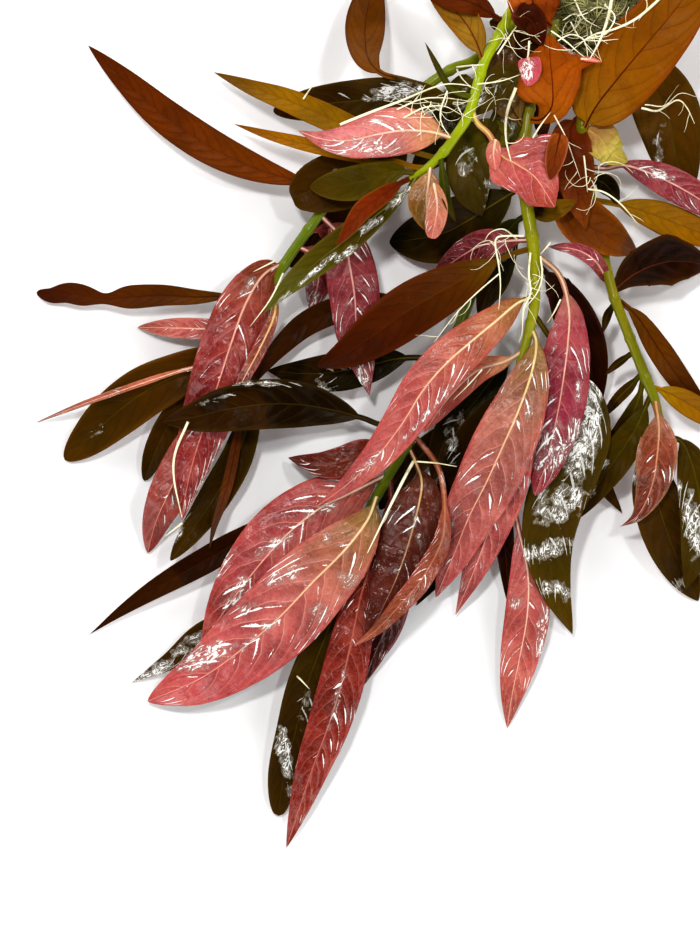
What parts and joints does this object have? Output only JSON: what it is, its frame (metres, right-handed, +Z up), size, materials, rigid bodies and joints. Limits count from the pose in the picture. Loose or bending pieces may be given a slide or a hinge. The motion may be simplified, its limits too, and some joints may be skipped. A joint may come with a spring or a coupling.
{
  "type": "ludwigia peruensis",
  "caption": "Bunch of leafy aquarium plant stems lying flat, with long pointed pink, olive and golden leaves, rooted in a pad of fibre.",
  "frame": {"origin": "on the surface that the bunch lies on, under the middle of its bounding box", "axes": "+Z up from the surface; +Y along the bunch, from the shoot tips towards the roots; +X to the right when seen from above with +Y away"},
  "size_m": [0.2134, 0.2768, 0.043],
  "materials": {
    "pink": "wet, glossy leaf",
    "red": "wet, glossy leaf",
    "magenta": "wet, glossy leaf",
    "maroon": "wet, glossy leaf",
    "olive": "wet, glossy leaf",
    "brown": "wet, glossy leaf",
    "orange": "wet, glossy leaf",
    "gold": "wet, glossy leaf",
    "stem": "smooth, moist green stem",
    "wool": "matted fibre"
  },
  "bodies": {
    "root": {"leaf_amber_top": "orange", "leaf_black_left": "olive", "leaf_black_lower": "olive", "leaf_black_middle": "maroon", "leaf_black_right": "maroon", "leaf_bronze_right": "brown", "leaf_brown_top": "brown", "leaf_brown_upper": "orange", "leaf_dark_front_left": "olive", "leaf_gold_long": "gold", "leaf_gold_narrow": "gold", "leaf_gold_right": "gold", "leaf_gold_right_low": "gold", "leaf_grey_lower_left": "olive", "leaf_magenta_behind": "magenta", "leaf_magenta_upper_right": "magenta", "leaf_magenta_wet": "magenta", "leaf_maroon_lower": "maroon", "leaf_maroon_upper": "maroon", "leaf_olive_behind_front": "olive", "leaf_olive_behind_middle": "olive", "leaf_olive_folded": "olive", "leaf_olive_glare": "olive", "leaf_olive_left_broad": "olive", "leaf_olive_left_lower": "olive", "leaf_olive_lowest": "olive", "leaf_olive_right_broad": "olive", "leaf_olive_right_edge": "olive", "leaf_olive_right_long": "olive", "leaf_olive_round": "olive", "leaf_olive_small": "olive", "leaf_olive_upper_right": "olive", "leaf_olive_wet_top": "olive", "leaf_orange_folded": "orange", "leaf_orange_large": "orange", "leaf_orange_top": "orange", "leaf_pink_behind_broad": "pink", "leaf_pink_behind_large": "pink", "leaf_pink_broad": "pink", "leaf_pink_folded": "pink", "leaf_pink_front_large": "pink", "leaf_pink_lower_right": "pink", "leaf_pink_wet": "pink", "leaf_red_left": "red", "leaf_red_left_lower": "red", "leaf_red_lowest": "red", "leaf_redbrown_right": "red", "leaf_redbrown_small": "red", "leaf_rust_far_left": "brown", "leaf_salmon_long": "pink", "leaf_umber_left": "brown", "leaf_umber_long": "brown", "leaf_umber_lower_left": "brown", "leaf_wavy_left": "brown", "stem_front": "stem", "stem_middle": "stem", "stem_right": "stem", "stem_left": "stem", "stem_lower": "stem", "rooting_wool": "wool"}
  },
  "joints": []
}
